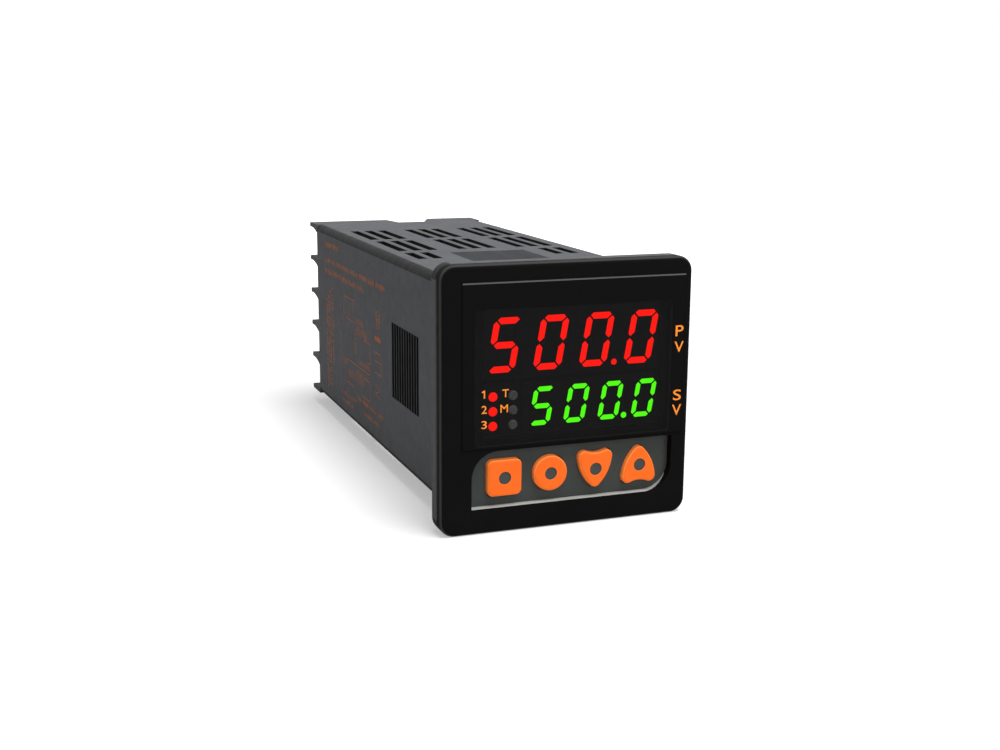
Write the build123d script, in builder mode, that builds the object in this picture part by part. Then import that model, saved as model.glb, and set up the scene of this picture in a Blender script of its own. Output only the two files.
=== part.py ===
import os
from math import radians, sqrt, tan

from build123d import *

# PID temperature controller for a 1/16 DIN panel cut-out, in millimetres.
# The origin is the middle of the face that seats on the panel. +Y runs to the rear,
# +X is to the right as seen from the front, and +Z is up.

os.makedirs("parts", exist_ok=True)

# Clearances between pieces that fit into each other
fit = 0.15
close_fit = 0.05
slide_fit = 0.1

# Housing: a square sleeve with a collar that seats on the panel
collar_size = 48.0
collar_rim = 3.25
collar_corner_r = 2.8
collar_depth = 2.9
collar_edge_r = 0.5
body_length = 99.6
body_edge_r = 1.5
wall = 1.6
rebate_inset = 2.0
rebate_depth = 1.6

# Ratchet patches that a panel clamp hooks into, one in each wall
tooth_pitch = 1.65
tooth_land = 0.45
tooth_depth = 0.8
side_ratchet_start = 17.6
side_ratchet_teeth = 11
side_ratchet_width = 15.2
top_ratchet_start = 21.5
top_ratchet_teeth = 10
top_ratchet_margin = 0.95

# Ventilation slots in the top and bottom walls, in three groups side by side
slot_width = 1.5
slot_pitch = 3.2
slot_side_margin = 4.0
slot_front_margin = 4.8
slot_rear_margin = 17.3
slot_row_gap = 3.3
front_slot_length = 10.0

# Snap hooks of the bezel and their pockets inside the side walls
snap_height = 0.6
snap_length = 1.6
snap_width = 8.0

# Front bezel
groove_width = 0.4
groove_inset = 0.5
bezel_depth = 1.7
bezel_edge = 0.8
skirt_wall = 0.8
skirt_reach = 5.2

# Keypad field, set in from the collar's edges: two opposite corners are round and two are sharp
field_left_margin = 5.8
field_right_margin = 3.2
field_bottom_margin = 4.65
field_height = 10.4
field_corner_r = 5.0
field_sink = 1.5
mat_thickness = 1.2

# Printed front plate, set in from the collar's edges, with the display window set into it
plate_left_margin = 3.95
plate_right_margin = 1.4
plate_top_margin = 3.05
plate_bottom_margin = 0.45
plate_thickness = 0.5
plate_proud = 0.2
plate_edge = 0.15
window_left_margin = 2.25
window_right_margin = 2.4
window_top_margin = 4.75
window_bottom_margin = 0.4
window_thickness = 1.1
window_corner_r = 0.6

# Keys, spread over the field
key_left_margin = 3.22
key_right_margin = 2.93
key_top_margin = 1.95
key_bottom_margin = 1.85
key_gap = 2.35
key_corner_r = 1.1
key_proud = 1.05
key_dome_r = 0.5
key_flange = 0.45
key_flange_depth = 0.8
key_travel = 0.8
key_dot = 2.35
key_dot_sink = 0.15
stem_end_dia = 3.2
triangle_extra = 0.12
triangle_tip_r = 1.15
triangle_bulge = 0.45
triangle_hollow = 0.45

# Switch under each key
switch_size = 6.0
switch_height = 3.2
stem_entry = 0.6
stem_slack = 0.4

# Display board and main boards
board_thickness = 1.6
board_front = 3.2
board_edge_gap = 0.25
component_room = 11.95
rail_width = 0.9
rail_height = 1.1
rail_start = 8.0

# Cases of the two displays and the lamps, set in from the window's edges
display_gap = 0.2
case_left_margin = 2.2
case_top_margin = 0.4
case_bottom_margin = 1.7
case_gap = 0.5
pv_case_share = 4 / 7

# Seven-segment digits, leaning to the right: a digit's width is a share of the pitch that its
# case leaves it, its stroke a share of its width, and its pointed ends are shares of its stroke
segment_depth = 0.3
slant_degrees = 10.0
segment_gap = 0.3
pv_edge_margin = 1.35
pv_left_margin = 0.24
sv_edge_margin = 1.15
sv_left_margin = 1.1
digit_width_share = 0.61
stroke_share = 0.215
segment_tip_share = 0.4
middle_tip_share = 0.6
point_dia = 1.1
point_gap_share = 0.45

# Status lamps in two columns of three: the pitch is a share of their case's height, and their
# diameter, their places and the case's width are shares of the pitch
lamp_pitch_share = 0.284
lamp_dia_share = 0.663
lamp_top_share = 0.91
lamp_side_share = 0.66
lamp_column_share = 1.44
lamp_case_share = 2.61
lamp_case_gap = 0.3

# Terminal block: barrier fins stand out behind the housing
block_depth = 9.6
fin_reach = 7.2
fin_rows = 5
fin_margin = 0.55
fin_tip = 1.1
fin_tip_r = 0.4
fin_root = 2.0
fin_flare = 0.2
notch_floor = (-0.2, 6.4)
notch_mouth = (-1.6, 9.3)
terminal_inset = 5.4
terminal_pitch = 9.6
barrier_thickness = 1.2
barrier_reach = 4.0
pocket_width = 6.2
pocket_height = 5.0
pocket_depth = 3.0
contact_thickness = 1.0
contact_tail = (0.8, 3.0)
clamp_thickness = 1.0
screw_dia = 3.0
screw_length = 8.0
screw_head_dia = 4.6
screw_head_height = 2.0
screw_slot = (0.8, 1.1)
terminal_board_gap = 0.1

# Parts on the main boards: length along Y, height along Z, reach from the board
row_margin = 1.5
header_size = (5.2, 20.0, 2.5)
transformer_size = (16.0, 16.0, 11.0)
transformer_leg = 3.2
winding_clearance = 0.4
winding_corner_r = 1.2
bulk_can = (10.0, 16.0)
output_can = (6.3, 11.0)
output_can_pitch = 7.5
choke_dia = 9.0
choke_bore = 4.0
choke_width = 5.0
relay_size = (18.0, 10.2, 10.6)
rectifier_size = (8.4, 6.4, 3.2)
fuse_dia = 8.4
fuse_height = 7.6
varistor_dia = 7.0
varistor_thickness = 3.6
processor_size = (10.0, 10.0, 1.4)
crystal_size = (10.0, 4.0, 3.2)
crystal_gap = 6.0
amplifier_size = (5.0, 4.0, 1.6)
amplifier_pitch = 9.0
optocoupler_size = (6.4, 4.6, 3.4)
optocoupler_pitch = 8.0
can_rim_r = 0.6
block_edge = 0.3

# Housing and bezel, worked out from the sizes above
body_size = collar_size - 2 * collar_rim
body_half = body_size / 2
collar_half = collar_size / 2
cavity_half = body_half - wall
skirt_half = cavity_half - fit
skirt_inner = skirt_half - skirt_wall
boss_half = collar_half - rebate_inset - fit
cut_through = collar_size
slot_group_pitch = body_half - slot_side_margin - slot_width / 2 - slot_pitch
top_ratchet_width = 2 * (slot_group_pitch - slot_pitch - slot_width / 2 - top_ratchet_margin)
middle_slots_start = top_ratchet_start + top_ratchet_teeth * tooth_pitch + slot_front_margin
slot_length = (body_length - slot_rear_margin - middle_slots_start - slot_row_gap) / 2
rear_slots_start = middle_slots_start + slot_length + slot_row_gap
front_slots_start = middle_slots_start - slot_row_gap - front_slot_length

# Faces one behind the other, from the front plate to the switches
plate_face = -(collar_depth + groove_width + bezel_depth + plate_proud)
plate_back = plate_face + plate_thickness
bezel_face = plate_face + plate_proud
bezel_back = -(collar_depth - rebate_depth) - close_fit
window_back = plate_face + window_thickness
display_face = window_back + display_gap
segment_back = display_face + segment_depth
mat_face = bezel_face + field_sink
mat_back = mat_face + mat_thickness
key_top = mat_face - key_proud
flange_front = mat_back + close_fit
flange_back = flange_front + key_flange_depth
switch_face = board_front - switch_height
board_back = board_front + board_thickness

# Layout of the front
field_left = -collar_half + field_left_margin
field_right = collar_half - field_right_margin
field_bottom = -collar_half + field_bottom_margin
field_top = field_bottom + field_height
plate_left = -collar_half + plate_left_margin
plate_right = collar_half - plate_right_margin
plate_bottom = field_top + plate_bottom_margin
plate_top = collar_half - plate_top_margin
window_left = plate_left + window_left_margin
window_right = plate_right - window_right_margin
window_bottom = plate_bottom + window_bottom_margin
window_top = plate_top - window_top_margin
key_names = ("set", "enter", "down", "up")
key_row = field_right - field_left - key_left_margin - key_right_margin
key_pitch = (key_row + key_gap) / len(key_names)
key_width = key_pitch - key_gap
key_height = field_height - key_top_margin - key_bottom_margin
key_z = field_top - key_top_margin - key_height / 2
key_xs = [field_left + key_left_margin + key_width / 2 + i * key_pitch for i in range(len(key_names))]

# Displays and lamps behind the window
case_left = window_left + case_left_margin
case_right = skirt_inner - fit
case_top = window_top - case_top_margin
case_bottom = window_bottom + case_bottom_margin
pv_case_bottom = case_top - (case_top - case_bottom - case_gap) * pv_case_share
sv_case_top = pv_case_bottom - case_gap
lamp_pitch = (sv_case_top - case_bottom) * lamp_pitch_share
lamp_dia = lamp_dia_share * lamp_pitch
lamp_xs = [case_left + (lamp_side_share + i * lamp_column_share) * lamp_pitch for i in range(2)]
lamp_zs = [sv_case_top - (lamp_top_share + i) * lamp_pitch for i in range(3)]
lamp_case_right = case_left + lamp_case_share * lamp_pitch
pv_case = (case_left, case_right, pv_case_bottom, case_top)
sv_case = (lamp_case_right + lamp_case_gap, case_right, case_bottom, sv_case_top)
lamp_case = (case_left, lamp_case_right, case_bottom, sv_case_top)

# Terminal block and boards
block_half = cavity_half - fit
block_front = body_length - block_depth
fin_end = body_length + fin_reach
pocket_floor = body_length - pocket_depth
contact_face = pocket_floor + contact_thickness
clamp_face = contact_face + clamp_thickness
terminal_board_back = block_front - terminal_board_gap
terminal_board_front = terminal_board_back - board_thickness
board_half = skirt_inner - board_edge_gap
main_board_half = cavity_half - fit
main_board_x = cavity_half - component_room - board_thickness / 2
fin_pitch = (body_size - 2 * fin_margin) / fin_rows
fin_zs = [fin_pitch * (i - fin_rows / 2) for i in range(fin_rows + 1)]
terminal_xs = (
    -body_half + terminal_inset,
    -body_half + terminal_inset + terminal_pitch,
    body_half - terminal_inset,
)
terminal_zs = [(low + high) / 2 for low, high in zip(fin_zs, fin_zs[1:])]
terminal_places = [(x, z) for x in terminal_xs for z in terminal_zs]


def across(y):
    """The plane across the controller at depth y, seen from the front."""
    return Plane.XZ.offset(-y)


def box_sketch(left, right, bottom, top, corner=0.0):
    """A rectangle between four edges, in the open sketch."""
    with Locations(((left + right) / 2, (bottom + top) / 2)):
        if corner:
            RectangleRounded(right - left, top - bottom, corner)
        else:
            Rectangle(right - left, top - bottom)


def save(node, name):
    """Labels a finished piece and writes it."""
    node.part.label = name
    export_step(node.part, f"parts/{name}.step")


# Key outlines, each centred on its own key and grown all round by a clearance or a flange
def square_key(grow):
    """A square with round corners."""
    RectangleRounded(key_width + 2 * grow, key_height + 2 * grow, key_corner_r + grow)


def round_key(grow):
    """A disc."""
    Circle(key_width / 2 + grow)


def around(centre, toward, radius):
    """The point of a circle that lies in a direction from its centre."""
    return centre + toward.normalized() * radius


def triangle_key(grow):
    """A triangle pointing up, of arcs that run into each other: its tips, bulging sides and hollow base."""
    tip_r = triangle_tip_r + grow
    inset = triangle_tip_r - triangle_extra
    top = Vector(0, key_height / 2 - inset)
    corner = Vector(key_width / 2 - inset, inset - key_height / 2)
    outward = Vector(top.Y - corner.Y, corner.X)
    side_reach = ((corner - top).length ** 2 / 4 + triangle_bulge**2) / (2 * triangle_bulge)
    side_centre = around((top + corner) / 2, -outward, side_reach - triangle_bulge)
    base_reach = (corner.X**2 + triangle_hollow**2) / (2 * triangle_hollow)
    base_centre = Vector(0, corner.Y + triangle_hollow - base_reach)
    from_side = (corner - side_centre).normalized()
    to_base = (base_centre - corner).normalized()
    up = Vector(0, 1)
    apex = around(top, up, tip_r)
    side_top = around(top, top - side_centre, tip_r)
    side_low = around(corner, from_side, tip_r)
    base_side = around(corner, to_base, tip_r)
    base_middle = around(base_centre, up, base_reach - tip_r)
    with BuildLine() as outline:
        ThreePointArc(apex, around(top, up + (top - side_centre).normalized(), tip_r), side_top)
        ThreePointArc(side_top, around(side_centre, outward, side_reach + tip_r), side_low)
        ThreePointArc(side_low, around(corner, from_side + to_base, tip_r), base_side)
        ThreePointArc(base_side, around(base_centre, up - to_base, base_reach - tip_r), base_middle)
        mirror(about=Plane.YZ)
    make_face(outline.edges())


def draw_key(index, grow):
    """One key's outline in its place."""
    with BuildSketch(mode=Mode.PRIVATE) as outline:
        (square_key, round_key, triangle_key, triangle_key)[index](grow)
    turn = 180 if key_names[index] == "down" else 0
    with Locations(Location((key_xs[index], key_z, 0), (0, 0, turn))):
        add(outline.sketch)


def draw_field(gap):
    """The keypad field's outline, made smaller all round by a gap."""
    width = field_right - field_left - 2 * gap
    height = field_top - field_bottom - 2 * gap
    with BuildSketch(mode=Mode.PRIVATE) as field:
        Rectangle(width, height)
        left = field.vertices().group_by(Axis.X)[0].sort_by(Axis.Y)[-1]
        right = field.vertices().group_by(Axis.X)[-1].sort_by(Axis.Y)[0]
        fillet([left, right], field_corner_r - gap)
    with Locations(((field_left + field_right) / 2, (field_top + field_bottom) / 2)):
        add(field.sketch)


# Housing
def draw_slots(start, length, groups, offsets):
    """One row of ventilation slots, in a sketch of X and Y."""
    for group in groups:
        for i in offsets:
            with Locations((group * slot_group_pitch + i * slot_pitch, start + length / 2)):
                Rectangle(slot_width, length)


def draw_teeth(surface, inward, start, teeth):
    """Saw teeth along Y in a sketch whose first axis crosses the wall."""
    for i in range(teeth):
        near = start + i * tooth_pitch
        far = near + tooth_pitch - tooth_land
        deep = surface + inward * tooth_depth
        with BuildLine() as tooth:
            Polyline((surface, near), (surface, far), (deep, far), (deep, near + tooth_land), close=True)
        make_face(tooth.edges())


with BuildPart() as housing:
    with BuildSketch(across(0)):
        RectangleRounded(body_size, body_size, body_edge_r)
    extrude(amount=-body_length)
    with BuildSketch(across(-collar_depth)):
        RectangleRounded(collar_size, collar_size, collar_corner_r)
    extrude(amount=-collar_depth)
    collar_rims = housing.edges().filter_by_position(Axis.Y, -collar_depth, 0)
    fillet(
        [edge for edge in collar_rims if abs(edge.center().Y) > 0 or edge.bounding_box().size.X > body_size],
        collar_edge_r,
    )
    # The cavity runs right through, and the collar is opened wider for the bezel
    with BuildSketch(across(-collar_depth)):
        Rectangle(2 * cavity_half, 2 * cavity_half)
    extrude(amount=-(collar_depth + body_length), mode=Mode.SUBTRACT)
    with BuildSketch(across(-collar_depth)):
        Rectangle(collar_size - 2 * rebate_inset, collar_size - 2 * rebate_inset)
    extrude(amount=-rebate_depth, mode=Mode.SUBTRACT)
    # Guide rails for the two main boards, above and below
    with BuildSketch(across(rail_start)):
        for side in (-1, 1):
            for face in (-1, 1):
                x = side * main_board_x + face * (board_thickness + rail_width + 2 * fit) / 2
                for level in (-1, 1):
                    with Locations((x, level * (cavity_half - rail_height / 2))):
                        Rectangle(rail_width, rail_height)
    extrude(amount=-(terminal_board_front - fit - rail_start))
    # Ventilation slots through the top and bottom
    with BuildSketch(Plane.XY):
        draw_slots(rear_slots_start, slot_length, (-1, 0, 1), (-1, 0, 1))
        draw_slots(middle_slots_start, slot_length, (-1, 0, 1), (-1, 0, 1))
        draw_slots(front_slots_start, front_slot_length, (-1, 1), (-1, 1))
    extrude(amount=body_half, both=True, mode=Mode.SUBTRACT)
    # Ratchet patches, in the sides and then in the top and bottom
    with BuildSketch(Plane.XY):
        for side in (-1, 1):
            draw_teeth(side * body_half, -side, side_ratchet_start, side_ratchet_teeth)
    extrude(amount=side_ratchet_width / 2, both=True, mode=Mode.SUBTRACT)
    with BuildSketch(Plane.ZY):
        for side in (-1, 1):
            draw_teeth(side * body_half, -side, top_ratchet_start, top_ratchet_teeth)
    extrude(amount=top_ratchet_width / 2, both=True, mode=Mode.SUBTRACT)
    # Pockets for the bezel's snap hooks
    with BuildSketch(Plane.XY):
        with Locations((0, skirt_reach - snap_length / 2)):
            Rectangle(2 * (cavity_half + snap_height), snap_length + 2 * fit)
    extrude(amount=snap_width / 2 + fit, both=True, mode=Mode.SUBTRACT)
save(housing, "housing")

# Front bezel
with BuildPart() as front_bezel:
    with BuildSketch(across(bezel_face)):
        RectangleRounded(collar_size, collar_size, collar_corner_r)
    extrude(amount=-bezel_depth)
    fillet(front_bezel.faces().sort_by(Axis.Y)[0].edges(), bezel_edge)
    # Behind the face lie the dark groove, the boss in the collar and the skirt in the sleeve
    with BuildSketch(across(bezel_face + bezel_depth)):
        RectangleRounded(
            collar_size - 2 * groove_inset, collar_size - 2 * groove_inset, collar_corner_r - groove_inset
        )
    extrude(amount=-groove_width)
    with BuildSketch(across(-collar_depth)):
        Rectangle(2 * boss_half, 2 * boss_half)
    extrude(amount=-(bezel_back + collar_depth))
    with BuildSketch(across(bezel_back)):
        Rectangle(2 * skirt_half, 2 * skirt_half)
        Rectangle(2 * skirt_inner, 2 * skirt_inner, mode=Mode.SUBTRACT)
    extrude(amount=-(skirt_reach - bezel_back))
    # Snap hooks on the skirt's sides
    with BuildSketch(Plane.XY):
        for side in (-1, 1):
            with BuildLine():
                Polyline(
                    (side * skirt_half, skirt_reach - snap_length),
                    (side * (skirt_half + snap_height), skirt_reach - snap_length),
                    (side * skirt_half, skirt_reach),
                    close=True,
                )
            make_face()
    extrude(amount=snap_width / 2, both=True)
    # Seat of the front plate, seat of the window and the opening behind it
    with BuildSketch(across(bezel_face)):
        box_sketch(
            plate_left - close_fit, plate_right + close_fit, plate_bottom - close_fit, plate_top + close_fit
        )
    extrude(amount=-(plate_back - bezel_face), mode=Mode.SUBTRACT)
    with BuildSketch(across(plate_back)):
        box_sketch(
            window_left - close_fit,
            window_right + close_fit,
            window_bottom - close_fit,
            window_top + close_fit,
            window_corner_r,
        )
    extrude(amount=-(window_back - plate_back), mode=Mode.SUBTRACT)
    with BuildSketch(across(window_back)):
        box_sketch(pv_case[0] - fit, skirt_inner, sv_case[2] - fit, pv_case[3] + fit)
    extrude(amount=-(bezel_back - window_back), mode=Mode.SUBTRACT)
    # Keypad recess, and the four holes that the keys' flanges move in, a little way into the skirt
    with BuildSketch(across(bezel_face)):
        draw_field(0)
    extrude(amount=-(mat_back - bezel_face), mode=Mode.SUBTRACT)
    with BuildSketch(across(mat_back)):
        for i in range(len(key_names)):
            draw_key(i, key_flange + fit)
    extrude(amount=-(flange_back + key_travel + fit - mat_back), mode=Mode.SUBTRACT)
save(front_bezel, "front_bezel")

with BuildPart() as front_plate:
    with BuildSketch(across(plate_face)):
        box_sketch(plate_left, plate_right, plate_bottom, plate_top)
    extrude(amount=-plate_thickness)
    chamfer(front_plate.faces().sort_by(Axis.Y)[0].edges(), plate_edge)
    with BuildSketch(across(plate_face)):
        box_sketch(window_left, window_right, window_bottom, window_top, window_corner_r)
    extrude(amount=-plate_thickness, mode=Mode.SUBTRACT)
save(front_plate, "front_plate")

with BuildPart() as display_window:
    with BuildSketch(across(plate_face)):
        box_sketch(
            window_left + close_fit,
            window_right - close_fit,
            window_bottom + close_fit,
            window_top - close_fit,
            window_corner_r,
        )
    extrude(amount=-window_thickness)
save(display_window, "display_window")

# Keypad mat, with a hole for each key
with BuildPart() as keypad_mat:
    with BuildSketch(across(mat_face)):
        draw_field(close_fit)
        with BuildSketch(mode=Mode.SUBTRACT):
            for i in range(len(key_names)):
                draw_key(i, fit)
    extrude(amount=-mat_thickness)
save(keypad_mat, "keypad_mat")


def make_key(index):
    """A coloured cap with a flange that stops it behind the mat, and the stem that fills its eye."""
    with BuildPart() as cap:
        with BuildSketch(across(key_top)):
            draw_key(index, 0)
        extrude(amount=-(flange_front - key_top))
        fillet(cap.faces().sort_by(Axis.Y)[0].edges(), key_dome_r)
        with BuildSketch(across(flange_front)):
            draw_key(index, key_flange)
        extrude(amount=-key_flange_depth)
        with BuildSketch(across(key_top)):
            with Locations((key_xs[index], key_z)):
                Circle(key_dot / 2)
        extrude(amount=-(flange_back - key_top), mode=Mode.SUBTRACT)
    save(cap, f"key_{key_names[index]}_cap")
    with BuildPart() as stem:
        with BuildSketch(across(key_top + key_dot_sink)):
            with Locations((key_xs[index], key_z)):
                Circle(key_dot / 2)
        extrude(amount=-(flange_back - key_top - key_dot_sink))
        with BuildSketch(across(flange_back)):
            with Locations((key_xs[index], key_z)):
                Circle(stem_end_dia / 2)
        extrude(amount=-(switch_face + stem_entry - flange_back))
    save(stem, f"key_{key_names[index]}_stem")


for index in range(len(key_names)):
    make_key(index)

# Display board and the switches behind the keys
with BuildPart() as display_board:
    with BuildSketch(across(board_front)):
        Rectangle(2 * board_half, 2 * board_half)
    extrude(amount=-board_thickness)
save(display_board, "display_board")

with BuildPart() as key_switches:
    with BuildSketch(across(switch_face)):
        for x in key_xs:
            with Locations((x, key_z)):
                Rectangle(switch_size, switch_size)
    extrude(amount=-switch_height)
    with BuildSketch(across(switch_face)):
        for x in key_xs:
            with Locations((x, key_z)):
                Circle(stem_end_dia / 2 + slide_fit)
    extrude(amount=-(stem_entry + key_travel + stem_slack), mode=Mode.SUBTRACT)
save(key_switches, "key_switches")


# Seven-segment displays: bars with pointed ends, cut at 45 degrees where two of them meet
def segment_outlines(size):
    """The seven segments of an upright digit about its centre, as lists of corners, a to g."""
    half_w, half_h = size[0] / 2, size[1] / 2
    stroke = stroke_share * size[0]
    tip = segment_tip_share * stroke
    middle_tip = half_w - middle_tip_share * stroke
    mitre = segment_gap / sqrt(2)
    low = 2 * mitre + tip - middle_tip_share * stroke
    top = [
        (half_w - mitre - 2 * tip, half_h),
        (half_w - mitre - tip, half_h - tip),
        (half_w - mitre - stroke, half_h - stroke),
        (-half_w + mitre + stroke, half_h - stroke),
        (-half_w + mitre + tip, half_h - tip),
        (-half_w + mitre + 2 * tip, half_h),
    ]
    right = [
        (half_w - tip, half_h - mitre - tip),
        (half_w, half_h - mitre - 2 * tip),
        (half_w, low + tip),
        (half_w - tip, low),
        (half_w - stroke, low + stroke - tip),
        (half_w - stroke, half_h - mitre - stroke),
    ]
    middle = [
        (middle_tip, 0),
        (middle_tip - stroke / 2, -stroke / 2),
        (stroke / 2 - middle_tip, -stroke / 2),
        (-middle_tip, 0),
        (stroke / 2 - middle_tip, stroke / 2),
        (middle_tip - stroke / 2, stroke / 2),
    ]

    def mirrored(points, sx, sz):
        return [(sx * x, sz * z) for x, z in points]

    return {
        "a": top,
        "b": right,
        "c": mirrored(right, 1, -1),
        "d": mirrored(top, 1, -1),
        "e": mirrored(right, -1, -1),
        "f": mirrored(right, -1, 1),
        "g": middle,
    }


lit_segments = {"5": "afgcd", "0": "abcdef"}
reading = "5000"
point_after = 2
lean = tan(radians(slant_degrees))


def draw_segments(size, first_x, pitch, centre_z, lit):
    """All lit or all dark segments of a four-digit reading, leaned to the right."""
    outlines = segment_outlines(size)
    for place, digit in enumerate(reading):
        x0 = first_x + place * pitch
        for name, points in outlines.items():
            if (name in lit_segments[digit]) == lit:
                with BuildLine() as outline:
                    Polyline(*[(x0 + x + z * lean, centre_z + z) for x, z in points], close=True)
                make_face(outline.edges())
        if place < len(reading) - 1 and (place == point_after) == lit:
            point_x = x0 + size[0] / 2 + point_gap_share * (pitch - size[0])
            point_z = -size[1] / 2 + point_dia / 2
            with Locations((point_x + point_z * lean, centre_z + point_z)):
                Circle(point_dia / 2)


def make_display(prefix, case, edge_margin, left_margin):
    """A display's case on the board, with its lit and dark segments on its face."""
    with BuildPart() as body:
        with BuildSketch(across(segment_back)):
            box_sketch(*case)
        extrude(amount=-(board_front - segment_back))
    save(body, f"{prefix}_display")
    left, right, bottom, top = case
    height = top - bottom - 2 * edge_margin
    pitch = (right - left - left_margin - lean * height) / (len(reading) - 1 + digit_width_share)
    width = digit_width_share * pitch
    first_x = left + left_margin + (width + lean * height) / 2
    for lit, name in ((True, "lit"), (False, "dark")):
        with BuildPart() as segments:
            with BuildSketch(across(display_face)):
                draw_segments((width, height), first_x, pitch, (bottom + top) / 2, lit)
            extrude(amount=-segment_depth)
        save(segments, f"{prefix}_segments_{name}")


make_display("pv", pv_case, pv_edge_margin, pv_left_margin)
make_display("sv", sv_case, sv_edge_margin, sv_left_margin)

# Status lamps: light pipes with shoulders, held in a black case
with BuildPart() as lamp_holder:
    with BuildSketch(across(segment_back)):
        box_sketch(*lamp_case)
    extrude(amount=-(board_front - segment_back))
    with BuildSketch(across(segment_back)):
        for x in lamp_xs:
            for z in lamp_zs:
                with Locations((x, z)):
                    Circle(lamp_dia / 2 + close_fit)
    extrude(amount=-(board_front - segment_back), mode=Mode.SUBTRACT)
save(lamp_holder, "lamp_holder")

for column, name in zip(lamp_xs, ("lit", "dark")):
    with BuildPart() as lamps:
        with BuildSketch(across(display_face)):
            for z in lamp_zs:
                with Locations((column, z)):
                    Circle(lamp_dia / 2)
        extrude(amount=-(board_front - display_face))
        fillet(lamps.faces().group_by(Axis.Y)[0].edges(), segment_depth)
    save(lamps, f"status_lamps_{name}")

# Terminal block: a plug in the sleeve, barrier fins, and a pocket for each terminal
with BuildPart() as terminal_block:
    with BuildSketch(across(block_front)):
        Rectangle(2 * block_half, 2 * block_half)
    extrude(amount=-block_depth)
    with BuildSketch(Plane.YZ) as fins:
        for i, z in enumerate(fin_zs):
            # Each fin is flat on one side and flares into its root on the other
            flat = z + fin_tip / 2 if i else z - fin_tip / 2
            down = -1 if i else 1
            with BuildLine():
                Line((body_length, flat), (fin_end, flat))
                Line((fin_end, flat), (fin_end, flat + down * fin_tip))
                ThreePointArc(
                    (fin_end, flat + down * fin_tip),
                    (body_length + fin_reach / 3, flat + down * (fin_tip + fin_flare)),
                    (body_length, flat + down * fin_root),
                )
                Line((body_length, flat + down * fin_root), (body_length, flat))
            make_face()
        fillet(fins.vertices().group_by(Axis.X)[-1], fin_tip_r)
    extrude(amount=body_half, both=True)
    with BuildSketch(across(body_length)):
        with Locations((sum(terminal_xs[:2]) / 2, 0)):
            Rectangle(barrier_thickness, body_size - 2 * fin_tip)
    extrude(amount=-barrier_reach)
    # The notch between the second and third columns
    with BuildSketch(Plane.XY):
        with BuildLine():
            Polyline(
                (notch_floor[0], body_length),
                (notch_mouth[0], fin_end),
                (notch_mouth[1], fin_end),
                (notch_floor[1], body_length),
                close=True,
            )
        make_face()
    extrude(amount=cut_through, both=True, mode=Mode.SUBTRACT)
    with BuildSketch(across(pocket_floor)):
        for place in terminal_places:
            with Locations(place):
                Rectangle(pocket_width, pocket_height)
    extrude(amount=-pocket_depth, mode=Mode.SUBTRACT)
    with BuildSketch(across(pocket_floor)):
        for place in terminal_places:
            with Locations(place):
                Circle(screw_dia / 2 + fit)
    extrude(amount=screw_length - contact_thickness - clamp_thickness + fit, mode=Mode.SUBTRACT)
    with BuildSketch(across(pocket_floor)):
        for x, z in terminal_places:
            with Locations((x + pocket_width / 2 - contact_tail[0], z)):
                Rectangle(contact_tail[0] + 2 * fit, contact_tail[1] + 2 * fit)
    extrude(amount=block_depth, mode=Mode.SUBTRACT)
save(terminal_block, "terminal_block")

with BuildPart() as terminal_contacts:
    with BuildSketch(across(pocket_floor)):
        for place in terminal_places:
            with Locations(place):
                Rectangle(pocket_width - 2 * fit, pocket_height - 2 * fit)
                Circle(screw_dia / 2 + slide_fit, mode=Mode.SUBTRACT)
    extrude(amount=-contact_thickness)
    with BuildSketch(across(pocket_floor)):
        for x, z in terminal_places:
            with Locations((x + pocket_width / 2 - contact_tail[0], z)):
                Rectangle(*contact_tail)
    extrude(amount=pocket_floor - terminal_board_front + board_thickness)
save(terminal_contacts, "terminal_contacts")

with BuildPart() as terminal_clamps:
    with BuildSketch(across(contact_face)):
        for place in terminal_places:
            with Locations(place):
                Rectangle(pocket_width - 2 * fit, pocket_height - 2 * fit)
                Circle(screw_dia / 2 + slide_fit, mode=Mode.SUBTRACT)
    extrude(amount=-clamp_thickness)
save(terminal_clamps, "terminal_clamps")

with BuildPart() as terminal_screws:
    with BuildSketch(across(clamp_face)):
        for place in terminal_places:
            with Locations(place):
                Circle(screw_head_dia / 2)
    extrude(amount=-screw_head_height)
    with BuildSketch(across(clamp_face)):
        for place in terminal_places:
            with Locations(place):
                Circle(screw_dia / 2)
    extrude(amount=screw_length)
    with BuildSketch(across(clamp_face + screw_head_height)):
        for place in terminal_places:
            with Locations(place):
                Rectangle(screw_head_dia, screw_slot[0])
                Rectangle(screw_slot[0], screw_head_dia)
    extrude(amount=screw_slot[1], mode=Mode.SUBTRACT)
save(terminal_screws, "terminal_screws")

# Terminal board behind the block, with a slot for each contact's tail
with BuildPart() as terminal_board:
    with BuildSketch(across(terminal_board_front)):
        Rectangle(2 * block_half, 2 * block_half)
        for x, z in terminal_places:
            with Locations((x + pocket_width / 2 - contact_tail[0], z)):
                tail_slot = (contact_tail[0] + 2 * close_fit, contact_tail[1] + 2 * close_fit)
                Rectangle(*tail_slot, mode=Mode.SUBTRACT)
    extrude(amount=-board_thickness)
save(terminal_board, "terminal_board")

# Main boards, upright along the sleeve, between the display board and the terminal board
power_face = main_board_x + board_thickness / 2
signal_face = -main_board_x - board_thickness / 2
for side, name in ((1, "power_board"), (-1, "signal_board")):
    with BuildPart() as main_board:
        with BuildSketch(Plane.XY.offset(-main_board_half)):
            box_sketch(
                side * main_board_x - board_thickness / 2,
                side * main_board_x + board_thickness / 2,
                skirt_reach + fit,
                terminal_board_front,
            )
        extrude(amount=2 * main_board_half)
    save(main_board, name)


def spread(lengths):
    """Centres along Y of parts of these lengths, in one row on a main board with equal gaps."""
    start = board_back + header_size[0]
    gap = (terminal_board_front - start - sum(lengths)) / (len(lengths) + 1)
    return [start + sum(lengths[:i]) + gap * (i + 1) + lengths[i] / 2 for i in range(len(lengths))]


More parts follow.
